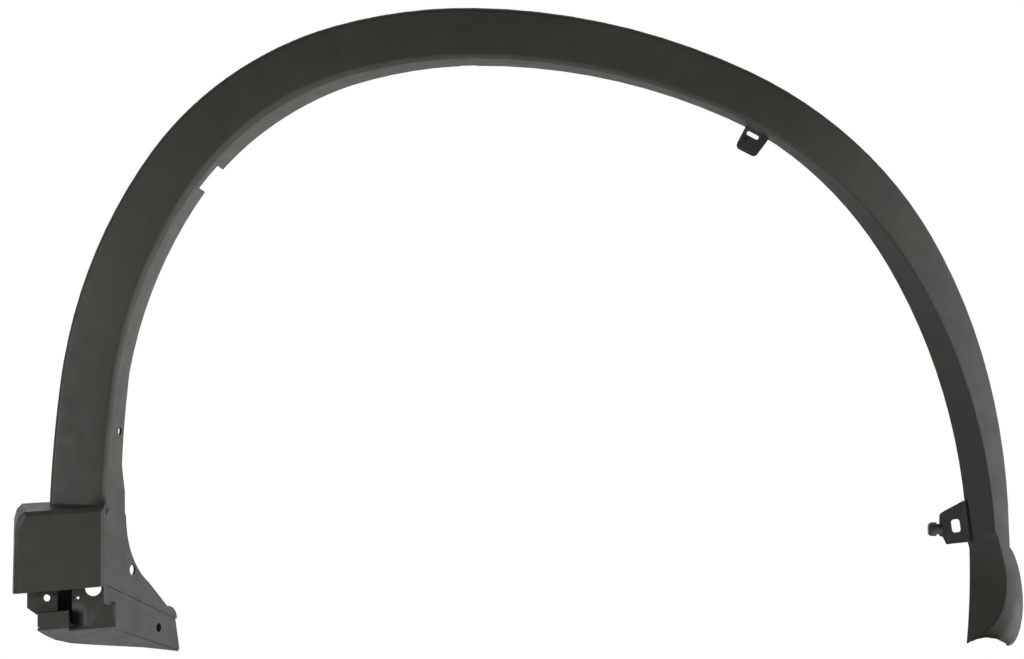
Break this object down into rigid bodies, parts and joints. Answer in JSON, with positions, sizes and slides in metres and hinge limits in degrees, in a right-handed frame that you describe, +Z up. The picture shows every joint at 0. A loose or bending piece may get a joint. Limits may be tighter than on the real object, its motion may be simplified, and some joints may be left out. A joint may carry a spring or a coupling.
{
  "type": "wheel arch trim",
  "caption": "Moulded trim that frames a front wheel opening, with a return flange, a boxed sill end with a holed foot, and a flared end that meets the bumper.",
  "frame": {"origin": "centre of the screw hole in the sill plate, at the plate's mid-plane", "axes": "+X forward along the car, from the sill end to the bumper end; +Y from the outside into the body; +Z up"},
  "size_m": [0.9849, 0.1637, 0.626],
  "materials": {
    "plastic": "fine grained moulded surface, unpainted"
  },
  "bodies": {
    "root": {"arch_trim": "plastic"}
  },
  "joints": []
}
